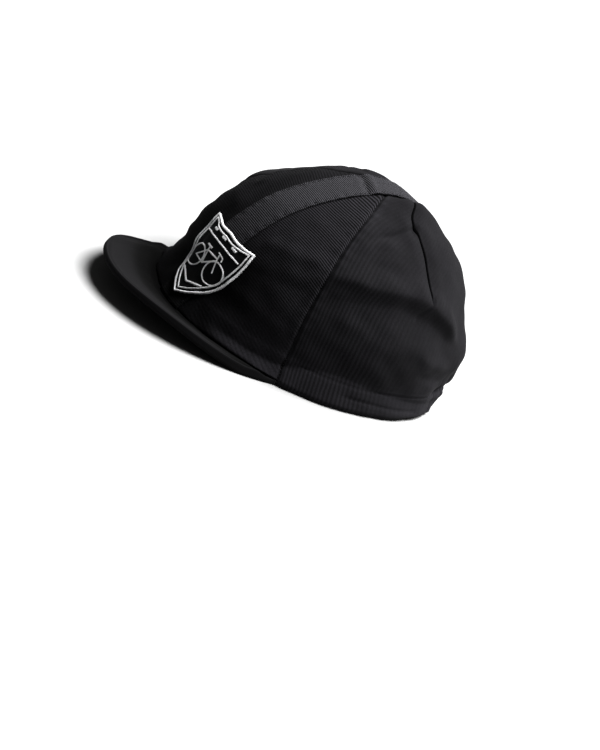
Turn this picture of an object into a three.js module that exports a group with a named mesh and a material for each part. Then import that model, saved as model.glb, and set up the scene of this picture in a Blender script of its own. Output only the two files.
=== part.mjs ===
import * as THREE from 'three';

// A cotton cycling cap: four crown panels, a tape over the centre seam and a short stiff peak.
// Millimetres, +Z up. The peak points along -Y, the wearer's left is +X, the hem rests at Z = 0.

// Crown
const CROWN_HEIGHT = 103.4;
const CROWN_CENTRE_Y = 1.6;
const HALF_SEAM_GAP = 0.25;

// Cloth
const CLOTH = 1.4;
const HEM_CLOTH = 2.6;
const HEM_HEIGHT = 16.5;
const HEM_RIDGE = 0.5;

// Tape over the centre seam
const TAPE_WIDTH = 20;
const TAPE_THICKNESS = 0.9;
const TAPE_CLEARANCE = 0.6;

// Peak
const PEAK_THICKNESS = 3;
const PEAK_HALF_WIDTH = 64.4;
const PEAK_CORNER_Y = -50;
const PEAK_REACH = 95;
const PEAK_ROUNDNESS = 1.06;
const PEAK_LIFT = 12.5;
const PEAK_LEVEL_ENDS = 0.13;
const PEAK_END_ANGLE = 83;
const PEAK_ROOT_TURN = 53;
const PEAK_TUCK = 6;
const PEAK_MARGIN = 0.8;
const PEAK_CLEARANCE = 0.4;

// The front panels stand on the peak's root, the rear panels reach the ground
const FRONT_FLOOR = PEAK_THICKNESS + PEAK_CLEARANCE;

// Reach of the crown from its centre line to the front, side and back, by the rise angle above the hem
const CROWN_SECTIONS = [
  { rise: 0, front: 103.6, side: 78.2, back: 89.5 },
  { rise: 12, front: 95.0, side: 79.7, back: 95.5 },
  { rise: 28, front: 97.0, side: 83.0, back: 93.5 },
  { rise: 50, front: 95.0, side: 81.3, back: 91.0 },
  { rise: 72, front: 80.5, side: 80.9, back: 79.5 },
  { rise: 90, front: 77.0, side: 82.0, back: 77.0 },
];

// Turn angle from the front centre at which the side seam and the dart lie, by the rise angle
const SEAM_LINE = [
  { rise: 0, side_seam: 54, dart: 99 },
  { rise: 10, side_seam: 50, dart: 99 },
  { rise: 20, side_seam: 47.5, dart: 99 },
  { rise: 43, side_seam: 45.5, dart: 99 },
  { rise: 55, side_seam: 44, dart: 97 },
  { rise: 67, side_seam: 41, dart: 91 },
  { rise: 76, side_seam: 38, dart: 97 },
  { rise: 82, side_seam: 37, dart: 112 },
  { rise: 90, side_seam: 37, dart: 118 },
];
const DART_FROM = 43;
const DART_TO = 84;
const DART_DEPTH = 1.5;
const DART_HALF_WIDTH = 2;

// Soft folds in the cloth: turn and rise of both ends, bow of the line between them, half width and height
const FOLDS = [
  { turn_a: 46, rise_a: 41, turn_b: 132, rise_b: 30, bow: 5, width: 5.5, height: 1.7 },
  { turn_a: 48, rise_a: 35, turn_b: 130, rise_b: 24, bow: 4, width: 5, height: -1.6 },
  { turn_a: 56, rise_a: 56, turn_b: 92, rise_b: 60, bow: 0, width: 6, height: -0.7 },
  { turn_a: 100, rise_a: 66, turn_b: 150, rise_b: 52, bow: 0, width: 6, height: 0.9 },
  { turn_a: 98, rise_a: 20, turn_b: 150, rise_b: 15, bow: 2, width: 6, height: 0.9 },
  { turn_a: 96, rise_a: 25, turn_b: 140, rise_b: 20, bow: 2, width: 4, height: -0.7 },
  { turn_a: 20, rise_a: 30, turn_b: 43, rise_b: 29, bow: 2, width: 4.5, height: -1.3 },
  { turn_a: 18, rise_a: 37, turn_b: 43, rise_b: 35, bow: 2, width: 5, height: 0.8 },
  { turn_a: 14, rise_a: 8, turn_b: 52, rise_b: 7.5, bow: 0, width: 4, height: 0.9 },
  { turn_a: 24, rise_a: 14, turn_b: 50, rise_b: 12, bow: 0, width: 3.5, height: 0.5 },
];

// Gathers drawn up by the elastic in the back hem
const GATHER_COUNT = 7;
const GATHER_FROM = 124;
const GATHER_TO = 172;
const GATHER_HEIGHT = 36;
const GATHER_DEPTH = 0.9;

// Grid rows of the panels: rise angles, closer at the hem and at the main folds
const PANEL_RISES = [0, 4.5, 8.6, 9.8, 14, 19, 24, 28.5, 33, 37, 41, 45, 50, 56, 62, 69, 76, 83, 89.4];

const radians = THREE.MathUtils.degToRad;
const degrees = THREE.MathUtils.radToDeg;

// A smooth curve through one column of a table, at any rise
function column(rows, name, rise) {
  let k = 0;
  while (k < rows.length - 2 && rise > rows[k + 1].rise) k += 1;
  const slopeAt = (i) => {
    const before = rows[Math.max(i - 1, 0)];
    const after = rows[Math.min(i + 1, rows.length - 1)];
    return (after[name] - before[name]) / (after.rise - before.rise);
  };
  const span = rows[k + 1].rise - rows[k].rise;
  const s = (rise - rows[k].rise) / span;
  const start = rows[k][name] * (2 * s ** 3 - 3 * s ** 2 + 1) + slopeAt(k) * span * (s ** 3 - 2 * s ** 2 + s);
  const end = rows[k + 1][name] * (3 * s ** 2 - 2 * s ** 3) + slopeAt(k + 1) * span * (s ** 3 - s ** 2);
  return start + end;
}

// Plain dome: turn runs round from the front centre to the back, rise goes up from the hem to the top
function domePoint(turn, rise) {
  const across = Math.cos(radians(rise));
  const towards = Math.cos(radians(turn));
  const reach = column(CROWN_SECTIONS, towards > 0 ? 'front' : 'back', rise);
  return new THREE.Vector3(
    across * column(CROWN_SECTIONS, 'side', rise) * Math.sin(radians(turn)),
    CROWN_CENTRE_Y - across * reach * towards,
    CROWN_HEIGHT * Math.sin(radians(rise)),
  );
}

function domeNormal(turn, rise) {
  const step = 0.3;
  const low = Math.max(rise - step, 0);
  const high = Math.min(rise + step, 89.9);
  const round = domePoint(turn + step, rise).sub(domePoint(turn - step, rise));
  const up = domePoint(turn, high).sub(domePoint(turn, low));
  return round.cross(up).normalize();
}

// A bell curve from 1 at zero to almost nothing at two and a half widths
function bell(distance, width) {
  return Math.exp(-((distance / width) ** 2));
}

// 0 below the start, 1 above the end, smooth between
function fade(value, start, end) {
  return THREE.MathUtils.smoothstep(value, start, end);
}

function foldHeight(fold, turn, rise) {
  const s = (turn - fold.turn_a) / (fold.turn_b - fold.turn_a);
  const inside = fade(s, -0.05, 0.2) * (1 - fade(s, 0.8, 1.05));
  const line = THREE.MathUtils.lerp(fold.rise_a, fold.rise_b, s) + fold.bow * Math.sin(Math.PI * s);
  const distance = radians(rise - line) * CROWN_HEIGHT;
  return inside > 0 ? fold.height * inside * bell(distance, fold.width) : 0;
}

function dartHeight(turn, rise) {
  const round = Math.cos(radians(rise)) * column(CROWN_SECTIONS, 'side', rise);
  const distance = radians(turn - column(SEAM_LINE, 'dart', rise)) * round;
  const along = fade(rise, DART_FROM - 3, DART_FROM + 6) * (1 - fade(rise, DART_TO - 4, DART_TO));
  return -DART_DEPTH * along * bell(distance, DART_HALF_WIDTH);
}

function gatherHeight(turn, rise) {
  const s = (turn - GATHER_FROM) / (GATHER_TO - GATHER_FROM);
  if (s < 0 || s > 1) return 0;
  const height = CROWN_HEIGHT * Math.sin(radians(rise));
  const strength = Math.sin(Math.PI * s) * (1 - fade(height, GATHER_HEIGHT * 0.3, GATHER_HEIGHT));
  return GATHER_DEPTH * strength * Math.cos(2 * Math.PI * GATHER_COUNT * s);
}

// How far the cloth stands off the plain dome; the tape holds it flat along the centre seam
function relief(turn, rise) {
  const place = domePoint(turn, rise);
  const besideTape = fade(place.x, TAPE_WIDTH / 2 + 2, TAPE_WIDTH / 2 + 9);
  const hem = HEM_RIDGE * (1 - fade(place.z, HEM_HEIGHT - 1, HEM_HEIGHT + 1));
  const folds = FOLDS.reduce((sum, fold) => sum + foldHeight(fold, turn, rise), 0);
  return besideTape * (hem + folds + dartHeight(turn, rise) + gatherHeight(turn, rise));
}

// A point at a depth below the outer face of the cloth, or above it where the depth is negative
function clothPoint(turn, rise, depth) {
  return domePoint(turn, rise).addScaledVector(domeNormal(turn, rise), relief(turn, rise) - depth);
}

// Closed wall over a grid of point pairs, one on the outer and one on the inner face
function wall(grid) {
  const rows = grid[0].length;
  const positions = [];
  const index = [];
  grid.forEach((line) => line.forEach((pair) => {
    positions.push(pair.outer.x, pair.outer.y, pair.outer.z);
    positions.push(pair.inner.x, pair.inner.y, pair.inner.z);
  }));
  const outer = (i, j) => 2 * (i * rows + j);
  const inner = (i, j) => outer(i, j) + 1;
  const quad = (a, b, c, d) => index.push(a, b, c, a, c, d);
  for (let i = 0; i < grid.length - 1; i += 1) {
    for (let j = 0; j < rows - 1; j += 1) {
      quad(outer(i, j), outer(i + 1, j), outer(i + 1, j + 1), outer(i, j + 1));
      quad(inner(i, j), inner(i, j + 1), inner(i + 1, j + 1), inner(i + 1, j));
    }
    quad(outer(i, 0), inner(i, 0), inner(i + 1, 0), outer(i + 1, 0));
    quad(outer(i, rows - 1), outer(i + 1, rows - 1), inner(i + 1, rows - 1), inner(i, rows - 1));
  }
  for (let j = 0; j < rows - 1; j += 1) {
    const last = grid.length - 1;
    quad(outer(0, j), outer(0, j + 1), inner(0, j + 1), inner(0, j));
    quad(outer(last, j), inner(last, j), inner(last, j + 1), outer(last, j + 1));
  }
  const geometry = new THREE.BufferGeometry();
  geometry.setAttribute('position', new THREE.Float32BufferAttribute(positions, 3));
  geometry.setIndex(index);
  return geometry;
}

// The same body on the wearer's other side, its faces turned back to point out
function mirrored(geometry) {
  const copy = geometry.clone();
  copy.scale(-1, 1, 1);
  const index = copy.getIndex().array;
  for (let i = 0; i < index.length; i += 3) {
    [index[i + 1], index[i + 2]] = [index[i + 2], index[i + 1]];
  }
  return copy;
}

// One line of a crown panel, from its lower edge at the floor height to its tip
function panelLine(turnAt, floor, shift) {
  return PANEL_RISES.map((rowRise, row) => {
    const floorRise = degrees(Math.asin(floor / CROWN_HEIGHT));
    const rise = Math.max(rowRise, floorRise + row * 1.5);
    const turn = turnAt(rise);
    const height = CROWN_HEIGHT * Math.sin(radians(rise));
    const thickness = height < HEM_HEIGHT ? HEM_CLOTH : CLOTH;
    const pair = { outer: clothPoint(turn, rise, 0), inner: clothPoint(turn, rise, thickness) };
    if (row === 0) {
      pair.outer.z = floor;
      pair.inner.z = floor;
    }
    pair.outer.add(shift);
    pair.inner.add(shift);
    return pair;
  });
}

function frontPanel() {
  const columns = 13;
  const shift = new THREE.Vector3(HALF_SEAM_GAP, -HALF_SEAM_GAP, 0);
  const grid = [];
  for (let i = 0; i <= columns; i += 1) {
    grid.push(panelLine((rise) => (i / columns) * column(SEAM_LINE, 'side_seam', rise), FRONT_FLOOR, shift));
  }
  return wall(grid);
}

// The columns of the rear panel close up on the dart, and stand closer again in the gathers
function rearPanel() {
  const shift = new THREE.Vector3(HALF_SEAM_GAP, HALF_SEAM_GAP, 0);
  const toDart = [0, 0.1, 0.2, 0.31, 0.42, 0.53, 0.64, 0.75, 0.86, 0.95, 1];
  const toBack = [0.028, 0.09, 0.16, 0.23, 0.3];
  for (let i = 1; i <= 26; i += 1) toBack.push(0.3 + (0.7 * i) / 26);
  const lerp = THREE.MathUtils.lerp;
  const seam = (rise) => column(SEAM_LINE, 'side_seam', rise);
  const dart = (rise) => column(SEAM_LINE, 'dart', rise);
  const grid = toDart.map((s) => panelLine((rise) => lerp(seam(rise), dart(rise), s), 0, shift));
  toBack.forEach((s) => grid.push(panelLine((rise) => lerp(dart(rise), 180, s), 0, shift)));
  return wall(grid);
}

// Turn and rise at which a line across the crown at x meets the dome, looking out at an angle from the front
function domeAt(x, angle) {
  const forward = -Math.cos(radians(angle));
  const up = Math.sin(radians(angle));
  let near = 0;
  let far = 130;
  let turn = 0;
  let rise = 0;
  for (let k = 0; k < 40; k += 1) {
    const reach = (near + far) / 2;
    const height = Math.min(reach * up, CROWN_HEIGHT * 0.99999);
    rise = degrees(Math.asin(height / CROWN_HEIGHT));
    const across = Math.cos(radians(rise));
    const lengthwise = across * column(CROWN_SECTIONS, forward < 0 ? 'front' : 'back', rise);
    const sideways = across * column(CROWN_SECTIONS, 'side', rise);
    const inside = (x / sideways) ** 2 + ((reach * forward) / lengthwise) ** 2 < 1;
    turn = degrees(Math.atan2(x / sideways, (-reach * forward) / lengthwise));
    if (inside && reach * up < CROWN_HEIGHT) near = reach;
    else far = reach;
  }
  return { turn, rise };
}

// Angles at which the tape has its cross lines: the rows of the panels, halved near the top
function tapeAngles() {
  const crownTop = 45;
  const angles = { front: [], back: [] };
  for (const side of ['front', 'back']) {
    const floor = side === 'front' ? FRONT_FLOOR : 0;
    const rises = PANEL_RISES.map((rise) => Math.max(rise, degrees(Math.asin(floor / CROWN_HEIGHT))));
    const halves = rises.slice(1).map((rise, k) => (rise + rises[k]) / 2).filter((rise) => rise > crownTop);
    for (const rise of [...rises, ...halves].sort((a, b) => a - b)) {
      const out = Math.cos(radians(rise)) * column(CROWN_SECTIONS, side, rise);
      angles[side].push(degrees(Math.atan2(CROWN_HEIGHT * Math.sin(radians(rise)), out)));
    }
  }
  return [...angles.front, ...angles.back.reverse().map((angle) => 180 - angle)];
}

function centreTape() {
  const across = 4;
  const angles = tapeAngles();
  const grid = angles.map((angle, i) => {
    const line = [];
    for (let j = 0; j <= across; j += 1) {
      const x = TAPE_WIDTH * (0.5 - j / across);
      const { turn, rise } = domeAt(Math.abs(x), angle);
      const pair = {
        outer: clothPoint(turn, rise, -TAPE_CLEARANCE - TAPE_THICKNESS),
        inner: clothPoint(turn, rise, -TAPE_CLEARANCE),
      };
      if (x < 0) {
        pair.outer.x *= -1;
        pair.inner.x *= -1;
      }
      if (i === 0 || i === angles.length - 1) {
        const floor = i === 0 ? FRONT_FLOOR : 0;
        pair.outer.z = floor;
        pair.inner.z = floor;
      }
      line.push(pair);
    }
    return line;
  });
  return wall(grid);
}

// From just outside the crown to the rim: fraction of the way out and of the thickness
const PEAK_SECTION = [
  { out: 0.2, thick: 1 },
  { out: 0.45, thick: 1 },
  { out: 0.72, thick: 1 },
  { out: 0.93, thick: 1 },
  { out: 0.98, thick: 0.78 },
  { out: 1, thick: 0.4 },
];

// A point of the crown's hem line, stood off it by a margin
function hemPoint(turn, margin, height) {
  return new THREE.Vector3(
    (CROWN_SECTIONS[0].side + margin) * Math.sin(turn),
    CROWN_CENTRE_Y - (CROWN_SECTIONS[0].front + margin) * Math.cos(turn),
    height,
  );
}

function rimPoint(angle) {
  const towards = Math.cos(angle);
  const raised = Math.max(towards ** 2 - PEAK_LEVEL_ENDS, 0) / (1 - PEAK_LEVEL_ENDS);
  return new THREE.Vector3(
    PEAK_HALF_WIDTH * Math.sin(angle),
    PEAK_CORNER_Y - PEAK_REACH * towards ** PEAK_ROUNDNESS,
    PEAK_THICKNESS / 2 + PEAK_LIFT * Math.sin((Math.PI / 2) * raised),
  );
}

// Level under the crown's edge, then rising to the rim
function peak() {
  const stations = 44;
  const half = PEAK_THICKNESS / 2;
  const grid = [];
  for (let i = 0; i <= stations; i += 1) {
    const s = 1 - (2 * i) / stations;
    const rootTurn = radians(PEAK_ROOT_TURN * s);
    const root = hemPoint(rootTurn, -PEAK_TUCK, half);
    const edge = hemPoint(rootTurn, PEAK_MARGIN, half);
    const rim = rimPoint(radians(PEAK_END_ANGLE * s));
    const line = [{ point: root, thick: 1 }, { point: edge, thick: 1 }];
    PEAK_SECTION.forEach(({ out, thick }) => line.push({ point: edge.clone().lerp(rim, out), thick }));
    grid.push(line.map(({ point, thick }) => ({
      outer: point.clone().setZ(point.z + half * thick),
      inner: point.clone().setZ(point.z - half * thick),
    })));
  }
  return wall(grid);
}

const panelCloth = { color: 0x17171a, roughness: 0.9, metalness: 0 };
const tapeCloth = { color: 0x2b2b2f, roughness: 0.85, metalness: 0 };
const peakCloth = { color: 0x141416, roughness: 0.85, metalness: 0 };

function addPiece(group, name, geometry, finish) {
  geometry.computeVertexNormals();
  const mesh = new THREE.Mesh(geometry, new THREE.MeshStandardMaterial(finish));
  mesh.name = name;
  group.add(mesh);
}

const cap = new THREE.Group();
const front = frontPanel();
const rear = rearPanel();
addPiece(cap, 'front_panel_left', front, panelCloth);
addPiece(cap, 'front_panel_right', mirrored(front), panelCloth);
addPiece(cap, 'rear_panel_left', rear, panelCloth);
addPiece(cap, 'rear_panel_right', mirrored(rear), panelCloth);
addPiece(cap, 'centre_tape', centreTape(), tapeCloth);
addPiece(cap, 'peak', peak(), peakCloth);

// The origin is the middle of the footprint, on the surface that the cap stands on
const bounds = new THREE.Box3().setFromObject(cap);
cap.position.y = -(bounds.min.y + bounds.max.y) / 2;

export default cap;
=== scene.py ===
import math
import bpy
import numpy as np
from mathutils import Matrix, Vector


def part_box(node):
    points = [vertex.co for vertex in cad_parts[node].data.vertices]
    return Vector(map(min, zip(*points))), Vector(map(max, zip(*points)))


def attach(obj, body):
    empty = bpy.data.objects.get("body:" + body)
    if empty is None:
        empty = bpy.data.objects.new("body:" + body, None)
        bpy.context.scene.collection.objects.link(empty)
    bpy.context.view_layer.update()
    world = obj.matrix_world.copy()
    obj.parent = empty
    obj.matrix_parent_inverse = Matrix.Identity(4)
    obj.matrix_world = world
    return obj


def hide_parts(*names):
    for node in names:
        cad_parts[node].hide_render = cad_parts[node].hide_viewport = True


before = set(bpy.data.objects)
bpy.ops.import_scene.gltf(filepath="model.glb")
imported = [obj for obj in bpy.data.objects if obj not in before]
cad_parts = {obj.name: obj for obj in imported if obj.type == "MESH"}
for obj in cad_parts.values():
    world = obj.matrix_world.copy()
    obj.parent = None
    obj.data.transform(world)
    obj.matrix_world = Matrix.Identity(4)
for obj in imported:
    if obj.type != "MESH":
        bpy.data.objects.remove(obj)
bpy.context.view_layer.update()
bpy.ops.object.select_all(action="DESELECT")


# Camera: the photograph's angle to the cap, from the front on the wearer's left and above the
# floor, turned about its own axis because the photograph shows the cap tipped forward.
view_azimuth = math.radians(44.42)
view_elevation = math.radians(21.96)
view_roll = math.radians(32.11)
eye = Vector((0.7062, -0.6787, 0.3794))

bpy.ops.object.camera_add(location=eye)
camera = bpy.context.object
camera.name = "camera"
camera.data.lens = 88.14
camera.data.sensor_width = 36.0
camera.data.clip_start = 0.05
camera.data.clip_end = 100.0
upright = Matrix.Rotation(view_azimuth, 4, "Z")
upright = upright @ Matrix.Rotation(math.pi / 2 - view_elevation, 4, "X")
camera.matrix_world = Matrix.Translation(eye) @ upright @ Matrix.Rotation(view_roll, 4, "Z")
bpy.context.scene.camera = camera
bpy.context.scene.view_settings.view_transform = "Standard"
bpy.context.scene.view_settings.gamma = 0.8


# Front panels: two gores of black cotton twill that meet under the tape at the front centre.
# Each is sewn to a rear panel at a slanting side seam, and its lower edge stands on the peak.
crown_height = 0.1034
rim_to_centre = 0.145
crown_shift = 0.0016
crown_centre_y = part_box("peak")[0][1] + rim_to_centre + crown_shift
cloth = 0.0012
hem_cloth = 0.0023
hem_height = 0.0165
stitch_drop = 0.0016
front_floor = 0.0034
seam_gap = 0.0002

# Reach of the crown from its centre line to the front, side and back, by the rise angle
crown_sections = [
    {"rise": 0, "front": 0.1036, "side": 0.0782, "back": 0.0895},
    {"rise": 12, "front": 0.0950, "side": 0.0797, "back": 0.0955},
    {"rise": 28, "front": 0.0970, "side": 0.0830, "back": 0.0935},
    {"rise": 50, "front": 0.0950, "side": 0.0813, "back": 0.0910},
    {"rise": 72, "front": 0.0805, "side": 0.0809, "back": 0.0795},
    {"rise": 90, "front": 0.0770, "side": 0.0820, "back": 0.0770},
]

# Turn from the front centre at which the side seam and the dart lie, by the rise angle
seam_lines = [
    {"rise": 0, "side_seam": 54, "dart": 99},
    {"rise": 10, "side_seam": 50, "dart": 99},
    {"rise": 20, "side_seam": 47.5, "dart": 99},
    {"rise": 43, "side_seam": 45.5, "dart": 98.5},
    {"rise": 55, "side_seam": 44, "dart": 96.5},
    {"rise": 65, "side_seam": 41.7, "dart": 92.5},
    {"rise": 71, "side_seam": 39.6, "dart": 89},
    {"rise": 75, "side_seam": 38.2, "dart": 93},
    {"rise": 79, "side_seam": 37.4, "dart": 107},
    {"rise": 83, "side_seam": 37, "dart": 136},
    {"rise": 90, "side_seam": 37, "dart": 140},
]

# Folds: a line of turn and rise angles across the cloth, how far the fold spreads below and above
# that line, and how high it stands off the cloth around it. Folds of side 0 are on both sides, of
# side 1 on the left and of side -1 on the right.
folds = [
    # Ridge from the side seam over the side and down towards the back
    {
        "side": 0, "below": 0.0045, "above": 0.0095, "height": 0.0029,
        "line": [(38, 35), (45, 37), (51, 38.7), (57, 39.7), (64, 40.4), (77, 41.6),
                 (88, 42.2), (99, 40.7), (106, 38.1), (112, 35.7), (118, 32.6), (124, 29.7),
                 (129, 27)],
    },
    # Hollow under that ridge
    {
        "side": 0, "below": 0.0180, "above": 0.0050, "height": -0.0018,
        "line": [(38, 26.3), (45, 27.8), (52, 30.8), (59, 32.8), (66, 34.2), (78, 36.2),
                 (89, 36.3), (100, 34.4), (107, 32.1), (112, 30), (118, 27.4), (124, 24.8),
                 (129, 23)],
    },
    # Dark slanting hollow high on the side
    {
        "side": 0, "below": 0.0045, "above": 0.0060, "height": -0.0013,
        "line": [(50, 54), (60, 59), (72, 62.5), (83, 65), (94, 67)],
    },
    # Faint ridge between the two
    {
        "side": 0, "below": 0.0050, "above": 0.0040, "height": 0.0004,
        "line": [(44, 42), (49, 44), (60, 48.5), (73, 51.5), (91, 51)],
    },
    # Crease that runs round the back above the hem
    {
        "side": 0, "below": 0.0020, "above": 0.0036, "height": -0.0030,
        "line": [(116, 8.5), (122, 8.5), (128, 8.5), (150, 8), (166, 8), (176, 8)],
    },
    # Sharp crease low in the hem band
    {
        "side": 0, "below": 0.0007, "above": 0.0010, "height": -0.0006,
        "line": [(72, 4.4), (82, 4.6), (95, 4), (103, 3.6), (116, 3)],
    },
    # Hollow across the front panel, below the badge's side
    {
        "side": 0, "below": 0.0260, "above": 0.0050, "height": -0.0017,
        "line": [(10, 23), (18, 24.5), (30, 26.5), (38, 28.5), (48, 31)],
    },
    # Ridge above that hollow
    {
        "side": 0, "below": 0.0040, "above": 0.0060, "height": 0.0009,
        "line": [(12, 35), (19, 36), (32, 38), (44, 41)],
    },
    # Ridge low on the front panel
    {
        "side": 0, "below": 0.0040, "above": 0.0040, "height": 0.0008,
        "line": [(12, 18), (22, 17), (34, 16.5), (46, 15)],
    },
    # Ridge towards the back, over the band
    {
        "side": 0, "below": 0.0040, "above": 0.0050, "height": 0.0012,
        "line": [(96, 24), (103, 22.5), (111, 20.5), (123, 18.5), (134, 18)],
    },
    # Hollow under it
    {
        "side": 0, "below": 0.0030, "above": 0.0030, "height": -0.0008,
        "line": [(100, 17), (112, 15), (123, 13.5), (134, 13)],
    },
    # Sharp crease in the dark hollow, on the left only
    {
        "side": 1, "below": 0.0035, "above": 0.0026, "height": -0.0011,
        "line": [(56, 57), (66, 61), (76, 64.5), (84, 66.5), (91, 67.7), (97, 68.4)],
    },
    # Small crease at the foot of the dart, on the left only
    {
        "side": 1, "below": 0.0010, "above": 0.0014, "height": -0.0009,
        "line": [(91, 35), (96, 39), (101, 43.5)],
    },
    # Ridge on the right front panel
    {
        "side": -1, "below": 0.0035, "above": 0.0050, "height": 0.0012,
        "line": [(22, 44), (32, 47), (44, 49)],
    },
    # Ridge high on the right rear panel
    {
        "side": -1, "below": 0.0030, "above": 0.0040, "height": 0.0008,
        "line": [(62, 77), (80, 74), (100, 70)],
    },
]

# The turned-up hem band: heights of its upper edge and of its fullest line, in mm, by turn
hem_band = [
    {"turn": 10, "top": 9.6, "full": 5.9},
    {"turn": 30, "top": 9.4, "full": 5.2},
    {"turn": 38, "top": 9.2, "full": 4.7},
    {"turn": 45, "top": 9.4, "full": 4.3},
    {"turn": 51, "top": 10.6, "full": 3.9},
    {"turn": 57, "top": 14.0, "full": 3.4},
    {"turn": 64, "top": 16.6, "full": 3.0},
    {"turn": 73, "top": 17.8, "full": 3.0},
    {"turn": 84, "top": 15.8, "full": 3.0},
    {"turn": 97, "top": 13.4, "full": 3.0},
    {"turn": 110, "top": 11.0, "full": 3.0},
    {"turn": 124, "top": 9.0, "full": 2.6},
    {"turn": 140, "top": 8.0, "full": 2.4},
]

# Places where the cloth puffs out or sinks, with sides as for the folds
puffs = [
    {"side": -1, "turn": 152, "rise": 40, "radius": 0.016, "height": 0.0030},
    {"side": 1, "turn": 150, "rise": 71, "radius": 0.010, "height": 0.0014},
    {"side": 0, "turn": 122, "rise": 57, "radius": 0.018, "height": 0.0022},
    {"side": 0, "turn": 150, "rise": 62, "radius": 0.018, "height": 0.0004},
    {"side": 0, "turn": 135, "rise": 21, "radius": 0.014, "height": 0.0036},
    {"side": 0, "turn": 150, "rise": 48, "radius": 0.016, "height": 0.0018},
    {"side": 0, "turn": 60, "rise": 24, "radius": 0.016, "height": -0.0008},
    {"side": 0, "turn": 131, "rise": 38, "radius": 0.020, "height": -0.0009},
    {"side": 0, "turn": 88, "rise": 26, "radius": 0.018, "height": -0.0008},
    {"side": -1, "turn": 28, "rise": 25, "radius": 0.018, "height": 0.0044},
    {"side": -1, "turn": 28, "rise": 42, "radius": 0.014, "height": 0.0012},
    {"side": -1, "turn": 20, "rise": 58, "radius": 0.014, "height": 0.0018},
    {"side": 0, "turn": 132, "rise": 7, "radius": 0.007, "height": 0.0022},
]


def smooth_line(at, value, x):
    """A smooth curve through the values at rising positions."""
    slope = np.gradient(value, at)
    slope[1:-1] = (value[2:] - value[:-2]) / (at[2:] - at[:-2])
    x = np.clip(x, at[0], at[-1])
    k = np.clip(np.searchsorted(at, x) - 1, 0, len(at) - 2)
    span = at[k + 1] - at[k]
    s = (x - at[k]) / span
    start = value[k] * (2 * s**3 - 3 * s**2 + 1) + slope[k] * span * (s**3 - 2 * s**2 + s)
    return start + value[k + 1] * (3 * s**2 - 2 * s**3) + slope[k + 1] * span * (s**3 - s**2)


def column(rows, name, angle, by="rise"):
    """One column of a table as a smooth curve over the rise or the turn angle."""
    at = np.array([row[by] for row in rows], float)
    return smooth_line(at, np.array([row[name] for row in rows], float), angle)


def dome(turn, rise):
    """The plain crown: turn runs round from the front centre, rise goes up from the hem."""
    across = np.cos(np.radians(rise))
    towards = np.cos(np.radians(turn))
    front = column(crown_sections, "front", rise)
    reach = np.where(towards > 0, front, column(crown_sections, "back", rise))
    x = across * column(crown_sections, "side", rise) * np.sin(np.radians(turn))
    y = crown_centre_y - across * reach * towards
    z = crown_height * np.sin(np.radians(rise)) + 0 * x
    return np.stack([x, y, z], -1)


def dome_normal(turn, rise):
    """The direction straight out of the plain crown, from steps of a part of a degree."""
    step = 0.3
    low = np.maximum(rise - step, 0)
    high = np.minimum(rise + step, 89.9)
    across = dome(turn + step, rise) - dome(turn - step, rise)
    normal = np.cross(across, dome(turn, high) - dome(turn, low))
    return normal / np.linalg.norm(normal, axis=-1, keepdims=True)


def fade(value, start, end):
    """Rises smoothly from 0 at start to 1 at end."""
    s = np.clip((value - start) / (end - start), 0, 1)
    return s * s * (3 - 2 * s)


def bell(distance, width):
    """A smooth hump of height 1 that falls away over this width."""
    return np.exp(-((distance / width) ** 2))


def ripple(place, length, seed):
    """Uneven waves of about this length, by place, between about -1 and 1."""
    draw = np.random.default_rng(seed)
    total = 0
    for _ in range(14):
        direction = draw.normal(size=3)
        direction /= np.linalg.norm(direction) * length * draw.uniform(0.7, 1.5)
        total = total + np.sin(2 * math.pi * (place @ direction + draw.uniform()))
    return total / 4.5


def fold_height(fold, turn, rise):
    """How far one fold lifts the cloth. It runs out softly at both of its ends."""
    at, level = np.array(fold["line"], float).T
    line = smooth_line(at, level, turn)
    steepness = (smooth_line(at, level, turn + 1) - smooth_line(at, level, turn - 1)) / 2
    distance = np.radians(rise - line) * crown_height / np.hypot(1, steepness)
    share = (turn - at[0]) / (at[-1] - at[0])
    inside = fade(share, 0, 0.18) * (1 - fade(share, 0.82, 1))
    spread = np.where(distance < 0, fold["below"], fold["above"])
    return fold["height"] * inside * bell(distance, spread)


def band_height(turn, rise, side):
    """The hem band leans out below a crease, and the cloth above it leans in to the crease."""
    leans_out = 0.0019
    crease_reach_mm = 10.5
    height = 1000 * crown_height * np.sin(np.radians(rise))
    top = column(hem_band, "top", turn, "turn")
    full = column(hem_band, "full", turn, "turn")
    crease = -0.0026 + 0.0015 * fade(turn, 92, 116)
    above = crease * np.exp(-(np.maximum(height - top, 0) / crease_reach_mm) ** 1.2)
    share = np.clip((top - height) / (top - full), 0, 1)
    leaning = crease + (leans_out - crease) * share**0.9
    tucked = 0.0012 + 0.0034 * (1 - fade(turn, 46, 60)) + 0.0026 * fade(turn, 100, 116)
    under = leans_out - tucked * (np.maximum(full - height, 0) / full) ** 1.2
    profile = np.where(height > top, above, np.where(height > full, leaning, under))
    start = 20 if side > 0 else 36
    return profile * fade(turn, start, start + 12) * (1 - fade(turn, 122, 144))


def puff_height(puff, turn, rise):
    centre = dome(np.array(float(puff["turn"])), np.array(float(puff["rise"])))
    distance = np.linalg.norm(dome(turn, rise) - centre, axis=-1)
    return puff["height"] * bell(distance, puff["radius"])


def tape_bed(place):
    """Over the top and down the back the tape draws the crown in to a shallow trough."""
    along = bell(place[..., 1] - crown_centre_y - 0.020, 0.026)
    return -0.0013 * along * (1 - fade(np.abs(place[..., 0]), 0.009, 0.020))


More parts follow.
